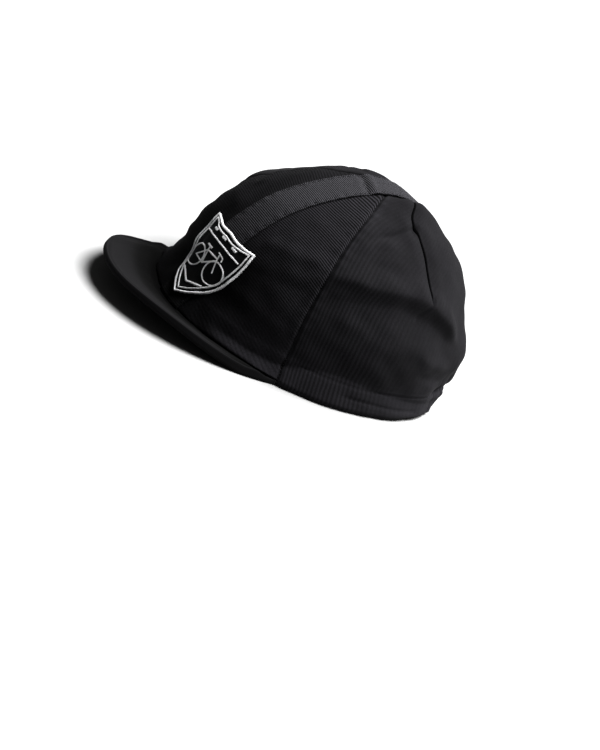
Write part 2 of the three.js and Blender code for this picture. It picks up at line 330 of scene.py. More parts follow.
def dart_height(turn, rise):
    """The dart pinches the rear panel to a narrow groove that runs out in a dimple."""
    round_way = np.cos(np.radians(rise)) * column(crown_sections, "side", rise)
    distance = np.radians(turn - column(seam_lines, "dart", rise)) * round_way
    along = fade(rise, 40.5, 43.5) * (1 - fade(rise, 84, 86))
    groove = 0.0016 * bell(distance, 0.0005) + 0.0005 * bell(distance, 0.0030)
    puff = 0.0005 * bell(np.abs(distance) - 0.007, 0.004)
    return along * (puff - groove)


def seam_height(turn, rise):
    """Cloth rolls down into the side seam, and the thread draws small puckers along it."""
    round_way = np.cos(np.radians(rise)) * 0.085
    distance = np.radians(turn - column(seam_lines, "side_seam", rise)) * round_way
    height = crown_height * np.radians(rise)
    pucker = np.sin(2 * math.pi * height / 0.0068) + 0.6 * np.sin(2 * math.pi * height / 0.0107 + 1)
    return 0.00013 * pucker * bell(distance, 0.005) - 0.0010 * bell(distance, 0.0009)


def gather_height(turn, rise):
    """The elastic in the back hem draws the cloth into uneven upright pleats."""
    first_turn, last_turn, pleats = 122, 172, 8
    s = np.clip((turn - first_turn) / (last_turn - first_turn), 0, 1)
    height = crown_height * np.sin(np.radians(rise))
    uneven = s + 0.018 * np.sin(19 * s) + 0.004 * np.sin(height / 0.004 + 9 * s)
    strength = np.sin(math.pi * s) ** 0.7 * (1 - fade(height, 0.010, 0.036))
    return 0.0014 * strength * (np.abs(np.cos(pleats * math.pi * uneven)) ** 0.7 * 2 - 1.1)


def relief(turn, rise, side):
    """How far the cloth stands off the plain crown. The tape holds it flat at the centre, and on
    the left the cloth rises in a soft lip beside the tape on top."""
    place = dome(turn, rise)
    beside_tape = fade(place[..., 0], 0.0115, 0.019)
    height = place[..., 2]
    hem_edge = fade(height, hem_height - 0.0008, hem_height + 0.0006)
    total = 0.0003 * (1 - hem_edge)
    stitch_line = bell(height - hem_height + stitch_drop, 0.0007)
    total = total - 0.0006 * stitch_line * fade(turn, 52, 60)
    for fold in folds:
        if fold["side"] in (0, side):
            total = total + fold_height(fold, turn, rise)
    for puff in puffs:
        if puff["side"] in (0, side):
            total = total + puff_height(puff, turn, rise)
    total = total + band_height(turn, rise, side) + gather_height(turn, rise)
    total = total + 0.00050 * ripple(place * [side, 1, 1], 0.034, 5)
    total = total + 0.00024 * ripple(place * [side, 1, 1], 0.013, 8)
    lip = (0.0043 if side > 0 else 0.0) * bell(place[..., 1] - crown_centre_y - 0.008, 0.014)
    lip = lip * bell(place[..., 0] - 0.0165, 0.007)
    lip = lip * fade(place[..., 0], 0.0101, 0.0130)
    dart = dart_height(turn, rise) * fade(place[..., 0], 0.0105, 0.0120)
    return beside_tape * total + dart + seam_height(turn, rise) + tape_bed(place) + lip


def crown_cloth(turn, rise, depth, side):
    """Points at a depth under the outer face of the cloth, on the left (1) or the right (-1)."""
    out = relief(turn, rise, side) - depth
    return dome(turn, rise) + dome_normal(turn, rise) * out[..., None]


def spaced(count, start_gap, end_gap):
    """Positions from 0 to 1, closer together at the ends by the two shares."""
    t = np.linspace(0, 1, count)
    weight = 1 - (1 - start_gap) * bell(t, 0.09) - (1 - end_gap) * bell(1 - t, 0.09)
    steps = (weight[1:] + weight[:-1]) / 2
    return np.concatenate([[0], np.cumsum(steps)]) / steps.sum()


def hem_rows(floor, thickness, upper_rises):
    """Rows from the rounded fold of the hem to the top: rise, outer depth and inner depth."""
    half = thickness / 2
    rows = []
    fold_rows = 6
    for k in range(fold_rows):
        angle = math.radians(8 + 82 * k / (fold_rows - 1))
        height = floor + half * (1 - math.cos(angle))
        opening = half * math.sin(angle)
        rise = math.degrees(math.asin(height / crown_height))
        rows.append((rise, half - opening, half + opening))
    for rise in upper_rises:
        if rise > rows[fold_rows - 1][0] + 0.4:
            height = crown_height * math.sin(math.radians(rise))
            turned = float(fade(height, hem_height - 0.0004, hem_height + 0.0004))
            rows.append((rise, 0.0, thickness + (cloth - thickness) * turned))
    return np.array(rows)


def cloth_wall(name, outer, inner, flat, show, painted_light_and_shade=0.0):
    """A closed wall between an outer and an inner grid of points, with its flat pattern as UV. Show
    is how far the ribs stand out, and the last value is painted light above zero, making the cloth
    paler, and painted shade below zero, making it darker."""
    count, rows = outer.shape[:2]
    size = count * rows
    number = np.arange(size).reshape(count, rows)
    a, b, c, d = number[:-1, :-1], number[1:, :-1], number[1:, 1:], number[:-1, 1:]
    front = np.stack([a, b, c, d], -1).reshape(-1, 4)
    back = np.stack([a, d, c, b], -1).reshape(-1, 4) + size
    rim = []
    for line in (number[:, 0], number[-1, :], number[::-1, -1], number[0, ::-1]):
        rim.append(np.stack([line[:-1], line[:-1] + size, line[1:] + size, line[1:]], -1))
    faces = np.concatenate([front, back] + rim)
    points = np.concatenate([outer.reshape(-1, 3), inner.reshape(-1, 3)])
    mesh = bpy.data.meshes.new(name)
    mesh.from_pydata(points.tolist(), [], faces.tolist())
    layer = mesh.uv_layers.new(name="weave")
    pattern = np.concatenate([flat.reshape(-1, 2)] * 2)
    layer.data.foreach_set("uv", pattern[faces.reshape(-1)].astype(np.float32).reshape(-1))
    mesh.polygons.foreach_set("use_smooth", np.ones(len(faces), bool))
    for label, share in (("rib_show", show), ("painted_light_and_shade", painted_light_and_shade)):
        values = np.tile((share + 0 * outer[..., 0]).reshape(-1), 2)
        layer = mesh.attributes.new(label, "FLOAT", "POINT")
        layer.data.foreach_set("value", values.astype(np.float32))
    piece = bpy.data.objects.new(name, mesh)
    bpy.context.collection.objects.link(piece)
    return piece


def face_out(piece):
    """Turns every face outwards."""
    bpy.context.view_layer.objects.active = piece
    piece.select_set(True)
    bpy.ops.object.mode_set(mode="EDIT")
    bpy.ops.mesh.select_all(action="SELECT")
    bpy.ops.mesh.normals_make_consistent(inside=False)
    bpy.ops.object.mode_set(mode="OBJECT")
    piece.select_set(False)


def way_along(line):
    """Distance along a line of points from its first point."""
    steps = np.linalg.norm(np.diff(line, axis=0), axis=-1)
    return np.concatenate([[0], np.cumsum(steps)])


def flat_pattern(turn, rise):
    """The gore laid flat, in mm: distance round from its middle line, and up along that line."""
    place = dome(turn, rise) * 1000
    round_steps = np.linalg.norm(np.diff(place, axis=0), axis=-1)
    u = np.concatenate([np.zeros((1, place.shape[1])), np.cumsum(round_steps, axis=0)])
    middle_turn = (turn[0] + turn[-1]) / 2
    for k in range(place.shape[1]):
        u[:, k] -= np.interp(middle_turn[k], turn[:, k], u[:, k])
    middle = dome(middle_turn, rise[0]) * 1000
    v = middle[0, 2] + way_along(middle)
    return u, v[None, :] + 0 * u


def lay_ribs(terms, u, v):
    """Counts the ribs of the twill across the flat pattern, and the yarns along them."""
    yarn_up, yarn_round = 0.62, 0.9
    ribs = sum(count * u**across * v**up for across, up, count in terms)
    return np.stack([ribs, v / yarn_up - u / yarn_round], -1)


def painted_front_light_and_shade(turn, rise, side):
    """Painted shade makes the cloth deepest black low down at the front and darker on the right of
    the upper front, and painted light makes the left of the upper front paler.
    """
    low = (1 - fade(turn, 14, 36)) * (1 - fade(rise, 20, 40))
    upper = (1 - fade(turn, 46, 52)) * fade(rise, 22, 39) * (0.6 if side > 0 else -0.8)
    return upper - 1.6 * low


def crown_panel(name, turn_at, columns, floor, shift, side, rib_terms, rib_show):
    """One panel, made on the left and mirrored for the right. turn_at gives the turn angle of a
    column, from 0 to 1, at a rise, and rib_show how far the ribs stand out there."""
    upper_rises = np.concatenate([np.arange(1, 15, 0.45), np.arange(15, 89.5, 0.62)])
    rows = hem_rows(floor, hem_cloth, upper_rises)
    rise = np.broadcast_to(rows[None, :, 0], (len(columns), len(rows)))
    turn = np.stack([turn_at(s, rows[:, 0]) for s in columns])
    outer = crown_cloth(turn, rise, rows[None, :, 1], side) + shift
    inner = crown_cloth(turn, rise, rows[None, :, 2], side) + shift
    for face in (outer, inner):
        face[:, :, 2] = np.maximum(face[:, :, 2], floor)
        face[:, 0, 2] = floor
    u, v = flat_pattern(turn, rise)
    flat = lay_ribs(rib_terms, u, v)
    if side < 0:
        outer, inner = outer * [-1, 1, 1], inner * [-1, 1, 1]
    show = rib_show(u, v) * (1 if side > 0 else 0.4)
    # Painted light and shade: painted light makes the cloth paler from the hem up to 14 mm, fading
    # out by 24 mm, and paler low at the back. The lowest few mm are less pale, and darker near turn
    # 103. The front's painted light and shade is added.
    hem_edge = 0.4 - 1.2 * bell(turn - 103, 14)
    painted_light_and_shade = hem_edge + (1 - hem_edge) * fade(outer[..., 2], 0.001, 0.006)
    painted_light_and_shade = painted_light_and_shade * (1 - fade(outer[..., 2], 0.014, 0.024))
    painted_light_low_at_back = fade(turn, 96, 112) * (1 - fade(rise, 12, 26))
    painted_light_and_shade = painted_light_and_shade + painted_front_light_and_shade(turn, rise, side) + 0.6 * painted_light_low_at_back
    piece = cloth_wall(name, outer, inner, flat, show, painted_light_and_shade)
    face_out(piece)
    return piece


def feed(tree, target, value):
    """Sets a socket to a number or a colour, or links an output to it."""
    if isinstance(value, (int, float)):
        target.default_value = value
    elif isinstance(value, tuple):
        target.default_value = (*value, 1)
    else:
        tree.links.new(value, target)


def math_node(tree, operation, *values):
    node = tree.nodes.new("ShaderNodeMath")
    node.operation = operation
    for slot, value in enumerate(values):
        feed(tree, node.inputs[slot], value)
    return node.outputs[0]


def mix(tree, share, first, second, blend="MIX"):
    """Mixes two colours by a share, or tones the first with the second."""
    node = tree.nodes.new("ShaderNodeMix")
    node.data_type = "RGBA"
    node.blend_type = blend
    for slot, value in ((0, share), (6, first), (7, second)):
        feed(tree, node.inputs[slot], value)
    return node.outputs[2]


def map_range(tree, shape, value, from_range, to_range=(0.0, 1.0)):
    node = tree.nodes.new("ShaderNodeMapRange")
    node.interpolation_type = shape
    feed(tree, node.inputs["Value"], value)
    for name, (low, high) in (("From", from_range), ("To", to_range)):
        feed(tree, node.inputs[name + " Min"], low)
        feed(tree, node.inputs[name + " Max"], high)
    return node.outputs["Result"]


def noise(tree, scale, detail, roughness=0.5):
    """Noise that is fixed to the piece."""
    place = tree.nodes.new("ShaderNodeTexCoord")
    node = tree.nodes.new("ShaderNodeTexNoise")
    feed(tree, node.inputs["Vector"], place.outputs["Object"])
    for name, value in (("Scale", scale), ("Detail", detail), ("Roughness", roughness)):
        feed(tree, node.inputs[name], value)
    return node.outputs["Fac"]


def attribute(tree, name):
    node = tree.nodes.new("ShaderNodeAttribute")
    node.attribute_name = name
    return node.outputs["Fac"]


def weave_waves(tree, sway=0.0):
    """Waves that rise once for each rib and for each yarn of the flat pattern. The ribs sway."""
    weave = tree.nodes.new("ShaderNodeUVMap")
    weave.uv_map = "weave"
    parts = tree.nodes.new("ShaderNodeSeparateXYZ")
    feed(tree, parts.inputs[0], weave.outputs["UV"])
    turns = [math_node(tree, "MULTIPLY", parts.outputs[k], 2 * math.pi) for k in (0, 1)]
    if sway:
        turns[0] = math_node(tree, "MULTIPLY_ADD", noise(tree, 90.0, 3.0), sway, turns[0])
    return [math_node(tree, "SINE", turn) for turn in turns]


def dull_shader(name, roughness, sheen, sheen_roughness=0.5):
    """A new dull material and its node tree, with constants on its shader."""
    material = bpy.data.materials.new(name)
    material.use_nodes = True
    inputs = material.node_tree.nodes["Principled BSDF"].inputs
    inputs["Roughness"].default_value = roughness
    inputs["Specular IOR Level"].default_value = 0.1
    inputs["Sheen Weight"].default_value = sheen
    inputs["Sheen Roughness"].default_value = sheen_roughness
    return material, material.node_tree


def finish_surface(tree, colour, height, depth, strength=1.0):
    """Links the colour to the shader, and a bump of this depth in metres."""
    shader = tree.nodes["Principled BSDF"]
    bump = tree.nodes.new("ShaderNodeBump")
    feed(tree, bump.inputs["Strength"], strength)
    feed(tree, bump.inputs["Distance"], depth)
    feed(tree, bump.inputs["Height"], height)
    feed(tree, shader.inputs["Normal"], bump.outputs[0])
    feed(tree, shader.inputs["Base Color"], colour)


def twill(name, valley, ridge, depth, groove, sheen, blotch):
    """Cotton twill: raised ribs with painted shade in the grooves between them, yarns across them,
    fuzz, and painted light and shade from the piece's attribute.
    """
    material, tree = dull_shader(name, 0.92, sheen)
    wave, yarn = weave_waves(tree, 2.6)
    rib = map_range(tree, "SMOOTHSTEP", wave, (-groove, groove))
    about_middle = math_node(tree, "SUBTRACT", rib, 0.5)
    shown = math_node(tree, "MULTIPLY_ADD", about_middle, attribute(tree, "rib_show"), 0.5)
    woven = math_node(tree, "MULTIPLY_ADD", yarn, 0.10, shown)
    fuzzed = math_node(tree, "MULTIPLY_ADD", noise(tree, 1100.0, 3.0), 0.8, woven)
    height = math_node(tree, "SUBTRACT", fuzzed, 0.40)
    wear = noise(tree, 60.0, 8.0, 0.72)
    tone = map_range(tree, "LINEAR", wear, (0.3, 0.7), (1.0 - blotch, 1.0 + blotch))
    # Painted light and shade: the piece's attribute makes the cloth paler above zero and darker
    # below zero.
    paler = math_node(tree, "MULTIPLY_ADD", attribute(tree, "painted_light_and_shade"), 0.5, 1.0)
    toned = math_node(tree, "MULTIPLY", tone, paler)
    # The valley colour, mixed in where the ribs are low, is painted shade in the grooves. rib_show
    # scales it together with the ribs' bump.
    colour = mix(tree, 1.0, mix(tree, height, valley, ridge), toned, "MULTIPLY")
    finish_surface(tree, colour, height, depth)
    return material


front_twill = twill(
    "front_twill",
    valley=(0.0004, 0.0004, 0.0005),
    ridge=(0.0165, 0.0157, 0.0184),
    depth=0.00024,
    groove=0.5,
    sheen=0.0,
    blotch=0.12,
)

# How the ribs lie on the panel: powers of the distance round and up, and ribs to each of them
front_ribs = [
    (1, 0, 0.225),
    (0, 1, 0.306),
    (2, 0, 1.35e-3),
    (1, 1, -1.05e-3),
    (0, 2, 6.59e-3),
    (3, 0, -2.29e-5),
    (2, 1, 3.57e-5),
    (1, 2, -5.1e-6),
    (0, 3, -3.20e-5),
]


def front_rib_show(u, v):
    """The ribs stand out most at the top of the front panels."""
    return 0.14 + 0.86 * fade(v, 16, 66)


sides = {"left": 1, "right": -1}
front_columns = spaced(86, 0.5, 0.25)
for name, side in sides.items():
    piece = crown_panel(
        "front_panel_" + name + "_cloth",
        lambda s, rise: s * column(seam_lines, "side_seam", rise),
        front_columns,
        front_floor,
        np.array([seam_gap, -seam_gap / 2, 0]),
        side,
        front_ribs,
        front_rib_show,
    )
    piece.data.materials.append(front_twill)
    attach(piece, "root")
    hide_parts("front_panel_" + name)


# Rear panels: one large gore of the same twill on each side, cut across the other way of the
# cloth, shaped by a dart that runs down from the tape and by the elastic in the back hem.
rear_twill = twill(
    "rear_twill",
    valley=(0.0036, 0.0034, 0.0040),
    ridge=(0.0115, 0.0110, 0.0130),
    depth=0.00010,
    groove=0.9,
    sheen=0.01,
    blotch=0.16,
)
rear_ribs = [
    (1, 0, 0.2515),
    (0, 1, 0.0129),
    (2, 0, 2.06e-4),
    (1, 1, -1.071e-3),
    (0, 2, -8.47e-4),
    (3, 0, 8.8e-6),
    (2, 1, -8.1e-6),
    (1, 2, 1.09e-5),
    (0, 3, -7.6e-6),
]


def rear_rib_show(u, v):
    """On the rear panels the ribs stand out most beside the side seam."""
    return 0.12 + 0.50 * (1 - fade(u, -72, -25)) * (1 - 0.3 * fade(v, 50, 85))


dart_share = 0.4
back_share = 0.6
to_dart = spaced(92, 0.22, 0.22) * dart_share
to_back = dart_share + (spaced(176, 0.2, 0.8) * back_share)[1:]


def rear_turn(s, rise):
    """Turn at a share of the way from the side seam over the dart to the centre of the back."""
    dart = column(seam_lines, "dart", rise)
    seam = column(seam_lines, "side_seam", rise)
    if s <= dart_share:
        return seam + (dart - seam) * s / dart_share
    return dart + (180 - dart) * (s - dart_share) / back_share


for name, side in sides.items():
    piece = crown_panel(
        "rear_panel_" + name + "_cloth",
        rear_turn,
        np.concatenate([to_dart, to_back]),
        0.0,
        np.array([seam_gap, seam_gap / 2, 0]),
        side,
        rear_ribs,
        rear_rib_show,
    )
    piece.data.materials.append(rear_twill)
    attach(piece, "root")
    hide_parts("rear_panel_" + name)


# Centre tape: a ribbed woven tape, a little lighter than the twill, laid over the centre seam
# from the front hem to the back hem and sewn down close to both of its edges.
tape_half_width = 0.010
tape_thickness = 0.0009
tape_clearance = 0.00035
stitch_x = 0.0087


def dome_at(x, angle):
    """Turn and rise where a line across the crown at x, looking out at an angle, meets it."""
    forward = -np.cos(np.radians(angle))
    up = np.sin(np.radians(angle))
    near = np.zeros(np.broadcast(x, angle).shape)
    far = near + 0.13
    halvings = 40
    for _ in range(halvings):
        reach = (near + far) / 2
        rise = np.degrees(np.arcsin(np.minimum(reach * up / crown_height, 0.99999)))
        across = np.cos(np.radians(rise))
        front = column(crown_sections, "front", rise)
        back = column(crown_sections, "back", rise)
        lengthwise = across * np.where(forward < 0, front, back)
        sideways = across * column(crown_sections, "side", rise)
        inside = (x / sideways) ** 2 + (reach * forward / lengthwise) ** 2 < 1
        inside = inside & (reach * up < crown_height)
        near = np.where(inside, reach, near)
        far = np.where(inside, far, reach)
    turn = np.degrees(np.arctan2(x / sideways, -reach * forward / lengthwise))
    return turn, rise


def over_crown(x, angle, lift):
    """Points that stand off the crown by a lift, at x across it and an angle from the front."""
    turn, rise = dome_at(np.abs(x), angle)
    place = dome(turn, rise)
    points = place + dome_normal(turn, rise) * (lift + tape_bed(place))[..., None]
    points[..., 0] *= np.where(x < 0, -1, 1)
    return points


tape_steps = 420
first_angle = math.degrees(math.asin(front_floor / crown_sections[0]["front"]))
rough_angles = np.linspace(first_angle, 180, tape_steps)
middle_line = over_crown(np.zeros(tape_steps), rough_angles, np.zeros(tape_steps))
rough_way = way_along(middle_line)
tape_way = np.linspace(0, rough_way[-1], tape_steps)
tape_angles = np.interp(tape_way, rough_way, rough_angles)

edge = tape_thickness / 2
flat_columns = 35
turn_in = np.radians([10, 30, 52, 75])
left_x = -tape_half_width + edge * (1 - np.sin(turn_in))
flat_x = np.linspace(-tape_half_width + edge, tape_half_width - edge, flat_columns)
across_x = np.concatenate([left_x, flat_x, -left_x[::-1]])
edge_opening = 1 - np.cos(turn_in)
opening = np.concatenate([edge_opening, np.ones(flat_columns), edge_opening[::-1]])
grid_x = np.broadcast_to(across_x[None, :], (tape_steps, len(across_x)))
grid_angle = np.broadcast_to(tape_angles[:, None], grid_x.shape)
grid_way = np.broadcast_to(tape_way[:, None], grid_x.shape)
place = over_crown(grid_x, grid_angle, np.zeros(grid_x.shape))
sewn = -0.00030 * bell(np.abs(grid_x) - stitch_x, 0.0006)
selvedge = 0.00010 * bell(np.abs(grid_x) - 0.0096, 0.0004)
pull = np.sin(2 * math.pi * grid_way / 0.0062 + 40 * grid_x)
pull = pull + 0.7 * np.sin(2 * math.pi * grid_way / 0.0091)
pucker = 0.00011 * pull * fade(np.abs(grid_x), 0.004, 0.009)
dent_slope = 0.32
dent = -0.0010 * bell(grid_way - 0.1335 + dent_slope * grid_x, 0.0021)
dent = dent + 0.0006 * bell(grid_way - 0.1385 + dent_slope * grid_x, 0.0024)
tape_relief = 0.00014 * ripple(place, 0.02, 3) + sewn + selvedge + pucker + dent
middle_lift = tape_clearance + edge
top = over_crown(grid_x, grid_angle, middle_lift + edge * opening + tape_relief)
under = over_crown(grid_x, grid_angle, middle_lift - edge * opening + np.maximum(tape_relief, 0))
for face in (top, under):
    face[0, :, 2] = front_floor
    face[:, :, 2] = np.maximum(face[:, :, 2], 0)
# Painted shade: the tape is darker from the front hem up to under the badge.
painted_shade_below_badge = -0.85 * (1 - fade(grid_way, 0.018, 0.040))
tape_rib, tape_warp = 0.00112, 0.00092
tape_flat = np.stack([grid_way / tape_rib, grid_x / tape_warp], -1)
tape = cloth_wall("centre_tape_cloth", top, under, tape_flat, 1, painted_shade_below_badge)
face_out(tape)

tape_weave, tree = dull_shader("tape_weave", 0.8, 0.02, 0.4)
cross_rib, warp = weave_waves(tree)
rib = map_range(tree, "SMOOTHSTEP", cross_rib, (0.2, 0.7))
woven = math_node(tree, "MULTIPLY_ADD", warp, 0.22, rib)
fuzzed = math_node(tree, "MULTIPLY_ADD", noise(tree, 1500.0, 3.0), 0.24, woven)
height = math_node(tree, "SUBTRACT", fuzzed, 0.12)
# The near-black colour where the tape's ribs are low is painted shade in its grooves.
colour = mix(tree, height, (0.0001, 0.0001, 0.0001), (0.070, 0.0685, 0.077))
# Painted shade from the piece's attribute darkens the tape below the badge.
paler = math_node(tree, "ADD", attribute(tree, "painted_light_and_shade"), 1.0)
finish_surface(tree, mix(tree, 1.0, colour, paler, "MULTIPLY"), height, 0.00028)
tape.data.materials.append(tape_weave)
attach(tape, "root")
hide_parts("centre_tape")


# Tape stitching: two rows of black thread that hold the tape down. Each stitch is a short
# length of thread that comes up through the tape, runs along it and goes down again.
def threads(name, starts, ends, outs, radius, bulge, sides=5, rings=6):
    """Short threads from starts to ends, bowed outwards, as one mesh of closed rods."""
    along = np.linspace(0, 1, rings)
    direction = ends - starts
    direction = direction / np.linalg.norm(direction, axis=-1, keepdims=True)
    aside = np.cross(outs, direction)
    aside = aside / np.linalg.norm(aside, axis=-1, keepdims=True)
    above = np.cross(direction, aside)
    bow = bulge * np.sin(math.pi * along) ** 0.6 - radius * (1 - np.sin(math.pi * along) ** 0.6)
    centres = starts[:, None] + (ends - starts)[:, None] * along[None, :, None]
    centres = centres + outs[:, None] * bow[None, :, None]
    slim = radius * (0.45 + 0.55 * np.sin(math.pi * along) ** 0.5)
    angle = 2 * math.pi * np.arange(sides) / sides
    ring = aside[:, None, None] * np.cos(angle)[None, None, :, None]
    ring = ring + above[:, None, None] * np.sin(angle)[None, None, :, None]
    points = centres[:, :, None] + ring * slim[None, :, None, None]
    count = len(starts)
    number = np.arange(count * rings * sides).reshape(count, rings, sides)
    turned = np.roll(number, -1, axis=2)
    quads = np.stack([number[:, :-1], turned[:, :-1], turned[:, 1:], number[:, 1:]], -1)
    quads = quads.reshape(-1, 4)
    caps = np.concatenate([number[:, 0, ::-1], number[:, -1]])
    mesh = bpy.data.meshes.new(name)
    mesh.from_pydata(points.reshape(-1, 3).tolist(), [], quads.tolist() + caps.tolist())
    mesh.polygons.foreach_set("use_smooth", np.ones(len(mesh.polygons), bool))
    piece = bpy.data.objects.new(name, mesh)
    bpy.context.collection.objects.link(piece)
    face_out(piece)
    return piece


def thread_finish(name, colour_value, roughness, sheen):
    """Spun thread: a plain colour that varies a little along it, with a fine twist."""
    material, tree = dull_shader(name, roughness, sheen)
    twist = noise(tree, 2600.0, 2.0)
    darker = tuple(0.72 * value for value in colour_value)
    colour = mix(tree, twist, darker, colour_value)
    finish_surface(tree, colour, twist, 0.00005, 0.5)
    return material


tape_stitch = 0.0023
stitch_pitch = 0.0031
row_offset = 0.0011
stitch_starts = np.arange(0.003, tape_way[-1] - 0.004, stitch_pitch)
stitch_row = np.repeat([-stitch_x, stitch_x], len(stitch_starts))
stitch_way = np.concatenate([stitch_starts, stitch_starts + row_offset])
wobble = np.random.default_rng(21).normal(size=(2, len(stitch_way))) * 0.00008


def on_tape(way, x, lift):
    """Points over the tape, by the way along it from the front hem and x across it."""
    return over_crown(x, np.interp(way, tape_way, tape_angles), lift + 0 * x)


tape_top = tape_clearance + tape_thickness - 0.00018
starts = on_tape(stitch_way, stitch_row + wobble[0], tape_top)
ends = on_tape(stitch_way + tape_stitch, stitch_row + wobble[1], tape_top)
stitch_middle = stitch_way + tape_stitch / 2
outs = on_tape(stitch_middle, stitch_row, tape_top + 0.001)
outs = outs - on_tape(stitch_middle, stitch_row, tape_top)
outs = outs / np.linalg.norm(outs, axis=-1, keepdims=True)
tape_threads = threads("tape_stitching", starts, ends, outs, 0.00017, 0.00010)
tape_threads.data.materials.append(thread_finish("tape_thread", (0.030, 0.029, 0.033), 0.7, 0.0))
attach(tape_threads, "root")


# Hem stitching: one row of black thread round the crown that holds the turned-up hem, and a few
# closer stitches where the hem crosses each side seam.
stitch_every, stitch_turn = 2.25, 1.65
half_bar_turn = 0.75
hem_stitches = []
for side in (1, -1):
    turns = [np.arange(9, 50, stitch_every), np.arange(54, 170, stitch_every)]
    turns = np.concatenate(turns)
    rise = np.degrees(np.arcsin((hem_height - stitch_drop) / crown_height)) + 0 * turns
    above_cloth = np.full(len(turns), -0.00002)
    begin = crown_cloth(turns, rise, above_cloth, side)
    end = crown_cloth(turns + stitch_turn, rise, above_cloth, side)
    out = dome_normal(turns + 0.8, rise)
    bar_rise = np.linspace(1.2, 8.2, 9)
    seam_turn = column(seam_lines, "side_seam", bar_rise)
    above_seam = np.full(len(bar_rise), -0.0001)
    bar_begin = crown_cloth(seam_turn - half_bar_turn, bar_rise, above_seam, side)
    bar_end = crown_cloth(seam_turn + half_bar_turn, bar_rise, above_seam, side)
    bar_out = dome_normal(seam_turn, bar_rise)
    for group in ((begin, end, out), (bar_begin, bar_end, bar_out)):
        hem_stitches.append([part * [side, 1, 1] for part in group])
starts, ends, outs = [np.concatenate(parts) for parts in zip(*hem_stitches)]
hem_threads = threads("hem_stitching", starts, ends, outs, 0.00016, 0.00010)
hem_threads.data.materials.append(thread_finish("hem_thread", (0.0045, 0.0043, 0.0050), 0.8, 0.0))
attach(hem_threads, "root")


# Badge: a shield-shaped embroidered patch sewn over the tape on the front. Its black ground is
# filled flat, and its border, its bicycle and its bands are raised in white satin stitch.
badge_scale = 0.00096
badge_height = 0.0305
up_front = slice(0, 150)
badge_way = float(np.interp(badge_height, middle_line[up_front, 2], rough_way[up_front]))
shield_top = [(0, 21.6), (8, 21.0), (15, 21.9), (21.3, 23.8)]
shield_side = [(21.3, 23.8), (21.9, 14), (21.3, 4), (18.6, -6), (13.6, -14.5), (7, -21)]
shield_side.append((0, -25.6))


def through(points, spacing):
    """Evenly spaced points on a smooth curve through some points, in mm."""
    points = np.array(points, float)
    reach = way_along(points)
    fine = np.linspace(0, reach[-1], max(8, int(reach[-1] / 0.1)))
    if len(points) > 2:
        curve = np.stack([smooth_line(reach, points[:, k], fine) for k in (0, 1)], -1)
    else:
        curve = points[0] + (points[1] - points[0]) * (fine / reach[-1])[:, None]
    length = way_along(curve)
    even = np.linspace(0, length[-1], max(2, int(round(length[-1] / spacing)) + 1))
    return np.stack([np.interp(even, length, curve[:, k]) for k in (0, 1)], -1)


half_outline = np.concatenate([through(shield_top, 0.5)[:-1], through(shield_side, 0.5)])
outline = np.concatenate([half_outline, half_outline[-2:0:-1] * [-1, 1]])


def on_badge(a, b, lift):
    """Points over the front, a across and b up from the badge's middle in mm, lift in metres."""
    a, b = a * badge_scale, b * badge_scale
    angle = np.interp(badge_way + b, tape_way, tape_angles)
    turn, rise = dome_at(np.abs(a), angle)
    place = dome(turn, rise)
    cloth_relief = np.where(a < 0, relief(turn, rise, -1), relief(turn, rise, 1))
    over_tape = 0.00165 - 0.00140 * fade(np.abs(a), 0.0102, 0.0150)
    points = place + dome_normal(turn, rise) * (cloth_relief + over_tape + lift)[..., None]
    points[..., 0] *= np.where(a < 0, -1, 1)
    return points


ground_thickness = 0.0007
flat_rings = 40
rim_share = 0.96 + 0.04 * np.sin(np.radians([20, 45, 70, 90]))
ring_share = np.concatenate([np.linspace(0.02, 0.96, flat_rings), rim_share])
ring_thick = np.concatenate([np.ones(flat_rings), np.cos(np.radians([20, 45, 70, 86]))])
ground_a = outline[:, None, 0] * ring_share[None, :]
ground_b = outline[:, None, 1] * ring_share[None, :]
ground_top = on_badge(ground_a, ground_b, ground_thickness / 2 * (1 + ring_thick[None, :]))
ground_under = on_badge(ground_a, ground_b, ground_thickness / 2 * (1 - ring_thick[None, :]))
around, rings = ground_a.shape
size = around * rings
number = np.arange(size).reshape(around, rings)
after = np.roll(number, -1, axis=0)
upper = np.stack([number[:, :-1], after[:, :-1], after[:, 1:], number[:, 1:]], -1).reshape(-1, 4)
lower = upper[:, ::-1] + size
here, there = number[:, -1], after[:, -1]
rim_faces = np.stack([here, there, there + size, here + size], -1)
middles = [number[::-1, 0].tolist(), (number[:, 0] + size).tolist()]
mesh = bpy.data.meshes.new("badge_ground")
mesh.from_pydata(
    np.concatenate([ground_top.reshape(-1, 3), ground_under.reshape(-1, 3)]).tolist(),
    [],
    upper.tolist() + lower.tolist() + rim_faces.tolist() + middles,
)
layer = mesh.uv_layers.new(name="weave")
ground_uv = np.stack([ground_b / 0.42 + 0.04 * ground_a, ground_a / 0.9], -1)
ground_uv = np.tile(ground_uv.reshape(-1, 2), (2, 1))
corner = np.empty(len(mesh.loops), np.int32)
mesh.loops.foreach_get("vertex_index", corner)
layer.data.foreach_set("uv", ground_uv[corner].astype(np.float32).reshape(-1))
mesh.polygons.foreach_set("use_smooth", np.ones(len(mesh.polygons), bool))
layer = mesh.attributes.new("rib_show", "FLOAT", "POINT")
layer.data.foreach_set("value", np.ones(len(mesh.vertices), np.float32))
badge_ground = bpy.data.objects.new("badge_ground", mesh)
bpy.context.collection.objects.link(badge_ground)
face_out(badge_ground)
badge_fill = twill(
    "badge_fill",
    valley=(0.0015, 0.0015, 0.0017),
    ridge=(0.008, 0.008, 0.009),
    depth=0.0001,
    groove=0.8,
    sheen=0.05,
    blotch=0.1,
)
badge_ground.data.materials.append(badge_fill)
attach(badge_ground, "root")


